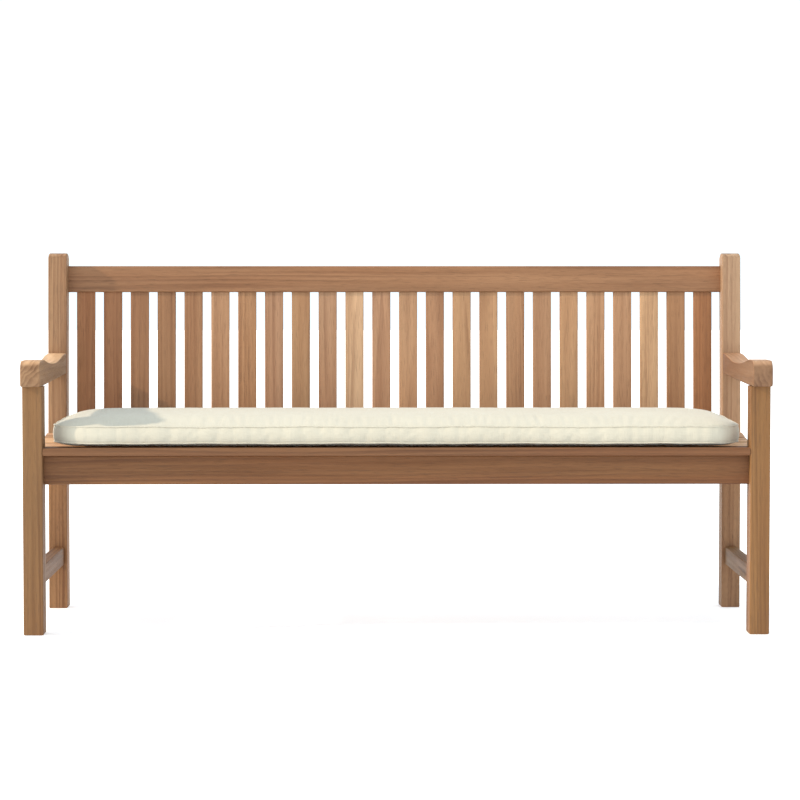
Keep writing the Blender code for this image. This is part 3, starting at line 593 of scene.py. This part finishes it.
def zip_tapes(shape, rows, columns):
    """The strip of cloth that both tapes make on the wall, raised a little along the coil."""
    points, faces = [], []
    for ring in rows:
        for k in columns:
            lift = 0.0007 + 0.0004 * (ring is rows[len(rows) // 2])
            points.append(Vector(shape[ring[k]]) + Vector((0, lift, 0)))
    for row in range(len(rows) - 1):
        for k in range(len(columns) - 1):
            a = row * len(columns) + k
            faces.append((a, a + 1, a + 1 + len(columns), a + len(columns)))
    tape = new_piece("zip_tapes", points, faces, zip_cloth(), "cushion")
    tape.modifiers.new("thick", "SOLIDIFY").thickness = 0.0005
    return tape


def plastic(name, colour, metal=False):
    """Moulded nylon, or die-cast zinc, with faint wear."""
    mat = bpy.data.materials.new(name)
    mat.use_nodes = True
    t = Tree(mat.node_tree)
    shader = mat.node_tree.nodes["Principled BSDF"]
    place = t.add("ShaderNodeTexCoord").outputs["Object"]
    wear = t.spread(t.noise(t.vector("MULTIPLY", place, (400, 400, 400)), detail=2), 0.35, 0.65)
    light, dark = linear(colour), linear([c * 0.86 for c in colour])
    t.put(shader.inputs["Base Color"], t.mix(wear, (*light, 1), (*dark, 1)))
    t.put(shader.inputs["Roughness"], t.math("ADD", 0.36, t.math("MULTIPLY", wear, 0.14)))
    shader.inputs["Metallic"].default_value = 1.0 if metal else 0.0
    return mat


def zip_cloth():
    """Herringbone polyester tape with a row of stitches near each edge."""
    mat = bpy.data.materials.new("zip_tape_cloth")
    mat.use_nodes = True
    t = Tree(mat.node_tree)
    shader = mat.node_tree.nodes["Principled BSDF"]
    place = t.add("ShaderNodeTexCoord").outputs["Object"]
    split = t.add("ShaderNodeSeparateXYZ")
    t.put(split.inputs[0], place)
    x, _, z = split.outputs
    level = t.math("ABSOLUTE", t.math("SUBTRACT", z, (ZIP_LOW.z + ZIP_HIGH.z) / 2))
    slant = t.math("SINE", t.math("MULTIPLY", t.math("ADD", x, level), 2 * math.pi / 0.0016))
    fuzz = t.noise(t.vector("MULTIPLY", place, (700, 700, 700)), detail=1)
    share = t.math("ADD", t.spread(slant, -1, 1, 0, 0.6), t.spread(fuzz, 0.3, 0.7, 0, 0.4))
    colour = t.mix(share, (*linear((205, 200, 182)), 1), (*linear((181, 175, 156)), 1))
    beat = t.math("SINE", t.math("MULTIPLY", x, 2 * math.pi / 0.0032))
    near = t.math("LESS_THAN", t.math("ABSOLUTE", t.math("SUBTRACT", level, 0.0088)), 0.0005)
    stitch = t.math("MULTIPLY", near, t.math("GREATER_THAN", beat, -0.5))
    t.put(shader.inputs["Base Color"], t.mix(stitch, colour, (*linear((230, 226, 212)), 1)))
    t.put(shader.inputs["Roughness"], t.spread(fuzz, 0.3, 0.7, 0.78, 0.9))
    t.put(shader.inputs["Normal"], t.bump(t.math("ADD", slant, t.math("MULTIPLY", stitch, 3)), 0.00012, 0.6))
    return mat


def make_cushion():
    mat = fabric()
    points, faces, rings = cushion_blank()
    cushion = new_piece("cushion", points, faces, mat, "cushion")
    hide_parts("cushion_cover", "cushion_foam")
    start = np.array(points)
    shape = start.copy()
    change = stuff(cushion, rings[0] + rings[-1]) - start
    size = np.linalg.norm(change, axis=1, keepdims=True)
    shape = start + change * (MOST_SWELL * np.tanh(size / MOST_SWELL) / np.maximum(size, 1e-9))
    shape[:, 2] = np.maximum(shape[:, 2], rest_height(shape[:, 1]))
    cushion.data.vertices.foreach_set("co", shape.ravel())
    cushion.data.update()
    fine = cushion.modifiers.new("fine", "SUBSURF")
    fine.levels = fine.render_levels = 1
    piping("piping_top", shape[rings[0]], mat)
    piping("piping_bottom", shape[rings[-1]], mat)
    zip_fastener(shape, rings)


def fabric():
    """Cream outdoor canvas: a plain weave of about 1 mm threads with slubs, soft creases and a slight nap."""
    mat = bpy.data.materials.new("cushion_canvas")
    mat.use_nodes = True
    t = Tree(mat.node_tree)
    shader = mat.node_tree.nodes["Principled BSDF"]
    place = t.add("ShaderNodeTexCoord").outputs["Object"]
    split = t.add("ShaderNodeSeparateXYZ")
    t.put(split.inputs[0], place)
    normal = t.add("ShaderNodeSeparateXYZ")
    t.put(normal.inputs[0], t.vector("ABSOLUTE", t.add("ShaderNodeNewGeometry").outputs["Normal"]))
    threads = [t.math("SINE", t.math("MULTIPLY", axis, 2 * math.pi / 0.0021)) for axis in split.outputs]
    weave = 0.0
    for share, first, second in ((2, 0, 1), (1, 0, 2), (0, 1, 2)):
        product = t.math("MULTIPLY", threads[first], threads[second])
        flat = t.math("POWER", normal.outputs[share], 4.0)
        weave = t.math("ADD", weave, t.math("MULTIPLY", product, flat))
    slub_x = t.noise(t.vector("MULTIPLY", place, (18, 900, 900)), detail=1)
    slub_y = t.noise(t.vector("MULTIPLY", place, (900, 18, 18)), detail=1)
    slub = t.math("ADD", slub_x, slub_y)
    broad = t.noise(t.vector("MULTIPLY", place, (5, 9, 12)), detail=3)
    puckers = t.noise(t.vector("MULTIPLY", place, (75, 75, 14)), detail=2)
    share = t.math("ADD", t.spread(slub, 0.75, 1.25, 0.0, 0.4), t.spread(broad, 0.35, 0.65, 0.0, 0.45))
    share = t.math("ADD", share, t.spread(weave, -0.6, 0.6, 0.12, 0.0), clamp=True)
    colour = t.mix(share, (*linear((203, 195, 176)), 1), (*linear((193, 185, 167)), 1))
    t.put(shader.inputs["Base Color"], colour)
    t.put(shader.inputs["Roughness"], t.spread(slub, 0.75, 1.25, 0.84, 0.96))
    shader.inputs["Sheen Weight"].default_value = 0.25
    shader.inputs["Sheen Roughness"].default_value = 0.5
    shader.inputs["Specular IOR Level"].default_value = 0.25
    creases = t.bump(puckers, 0.001, 0.4)
    height = t.math("ADD", t.math("MULTIPLY", weave, 0.5), slub)
    t.put(shader.inputs["Normal"], t.bump(height, 0.00022, 0.6, creases))
    return mat


make_camera()
make_lights()
make_floor()
finish_boards()
make_cushion()
scene.view_settings.view_transform = "Standard"
